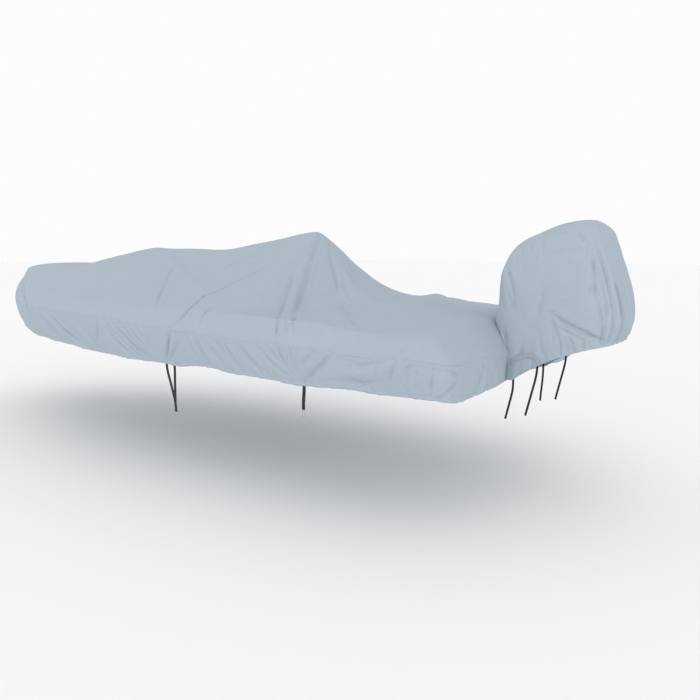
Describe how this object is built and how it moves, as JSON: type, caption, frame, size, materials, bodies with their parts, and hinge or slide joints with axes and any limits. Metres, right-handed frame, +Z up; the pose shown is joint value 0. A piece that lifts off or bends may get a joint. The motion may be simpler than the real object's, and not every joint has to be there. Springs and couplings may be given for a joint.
{
  "type": "boat cover",
  "caption": "Fitted cloth boat cover in its draped shape: raised centre support, side panels with puckered hem, an outboard motor hood and webbing ties.",
  "frame": {"origin": "underside of the deck panel at its highest point, where the boat's tallest support holds the cover up", "axes": "+X along the boat to the bow, +Y to port, +Z up"},
  "size_m": [6.448, 2.33, 1.3374],
  "materials": {
    "cover_cloth": "matt coated polyester canvas, pale blue-grey",
    "loop_webbing": "woven webbing in the cloth's colour",
    "tie_webbing": "black polypropylene webbing",
    "hook_steel": "zinc plated wire"
  },
  "bodies": {
    "root": {"deck_panel": "cover_cloth", "side_panel_port": "cover_cloth", "side_panel_starboard": "cover_cloth", "motor_hood": "cover_cloth", "stern_loop_port": "loop_webbing", "stern_loop_starboard": "loop_webbing", "tie_fore_port_long": "tie_webbing", "tie_fore_port_short": "tie_webbing", "tie_fore_starboard_long": "tie_webbing", "tie_fore_starboard_short": "tie_webbing", "tie_mid_port": "tie_webbing", "tie_mid_starboard": "tie_webbing", "tie_stern_port_fore": "tie_webbing", "tie_stern_port_aft": "tie_webbing", "tie_stern_starboard_fore": "tie_webbing", "tie_stern_starboard_aft": "tie_webbing", "hook_mid_port": "hook_steel", "hook_mid_starboard": "hook_steel"}
  },
  "joints": []
}
